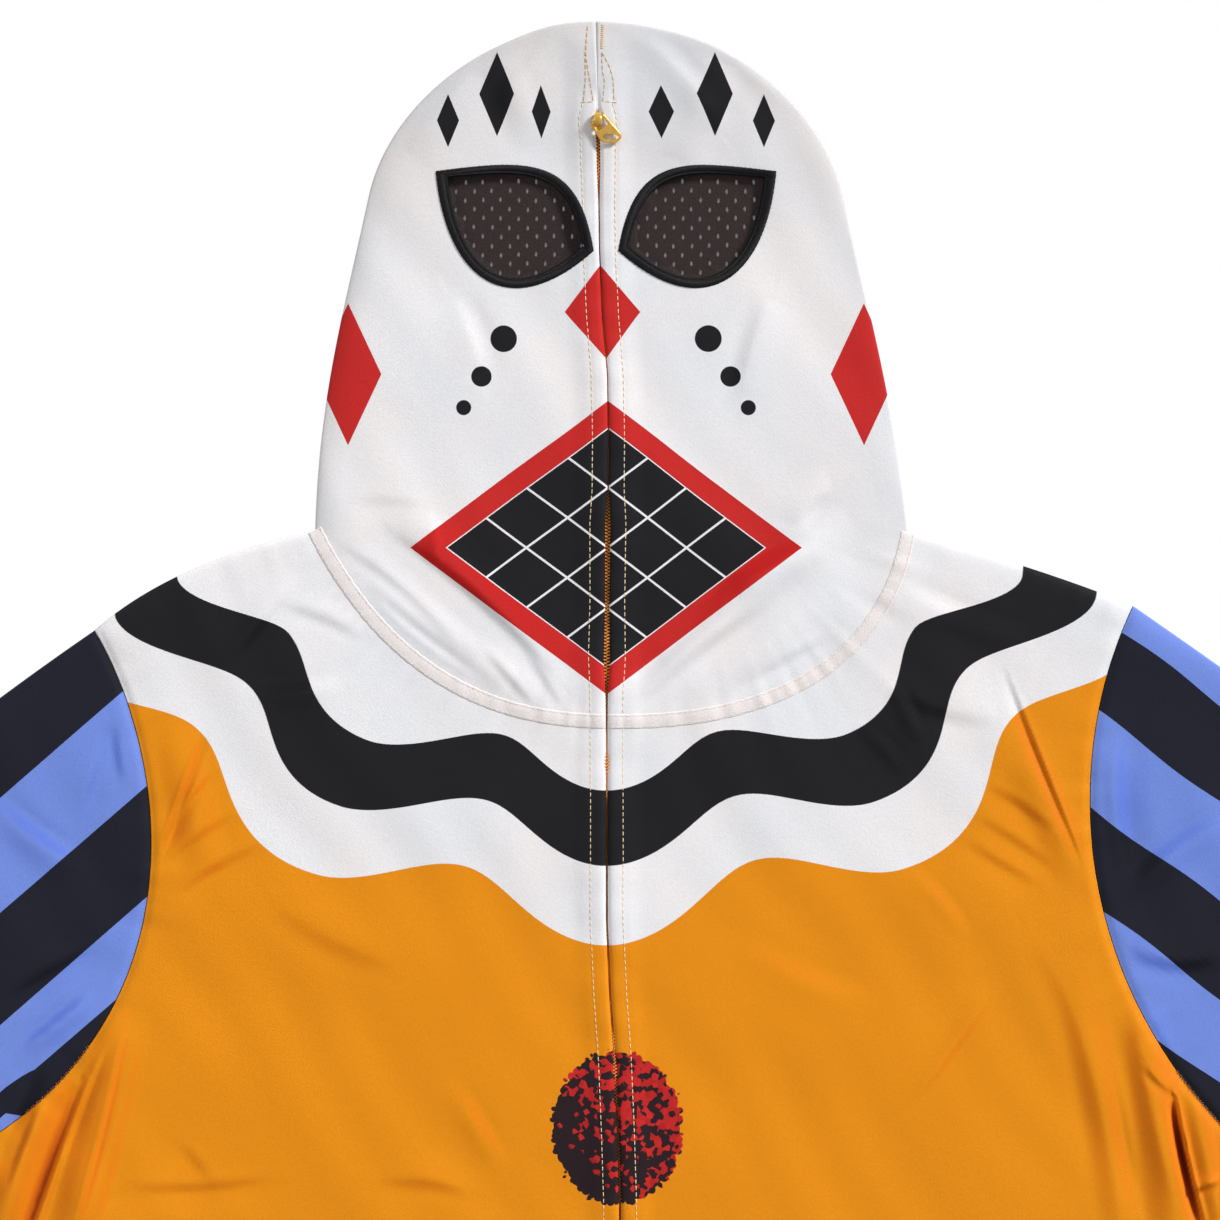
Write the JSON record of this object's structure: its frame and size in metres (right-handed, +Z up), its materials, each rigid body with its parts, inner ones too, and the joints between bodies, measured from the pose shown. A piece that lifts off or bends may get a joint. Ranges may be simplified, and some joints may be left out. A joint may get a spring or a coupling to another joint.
{
  "type": "clown hoodie",
  "caption": "Zip-up costume hoodie laid flat, with a full-face hood zipped to the crown, see-through eye windows, a wavy printed collar and striped sleeves.",
  "frame": {"origin": "on the underside, under the middle of the chest line between the two armpits, on the surface that the garment lies on", "axes": "+X towards the viewer's right across the garment, +Y from the hem to the top of the hood, +Z up out of the front of the garment"},
  "size_m": [1.4333, 0.941, 0.0112],
  "materials": {
    "body_cloth": "smooth orange polyester knit with a printed white and black wave collar and printed red pompoms",
    "sleeve_cloth": "smooth polyester knit printed in blue and black stripes along the arm",
    "hood_cloth": "smooth white polyester knit with printed black diamonds and red shapes",
    "neck_band": "pale woven tape over the neck seam",
    "eye_net": "black knitted mesh with small oval holes",
    "zip_tape": "mustard woven zip tape",
    "zip_chain": "mustard nylon zip coil",
    "zip_metal": "bright gold-coloured die-cast metal"
  },
  "bodies": {
    "garment": {"back_panel": "body_cloth", "front_left": "body_cloth", "front_right": "body_cloth", "sleeve_left": "sleeve_cloth", "sleeve_right": "sleeve_cloth", "hood_left": "hood_cloth", "hood_right": "hood_cloth", "neck_band_left": "neck_band", "neck_band_right": "neck_band", "eye_mesh_left": "eye_net", "eye_mesh_right": "eye_net", "zip_tape_left": "zip_tape", "zip_tape_right": "zip_tape", "zip_chain": "zip_chain", "zip_slider": "zip_metal"},
    "pull_tab": {"zip_pull": "zip_metal"}
  },
  "joints": [
    {"name": "pull_swing", "type": "hinge", "parent": "garment", "child": "pull_tab", "pos_m": [-0.00364, 0.466, 0.0082], "axis": [-0.829, -0.5592, 0], "range_deg": [0, 150]}
  ]
}
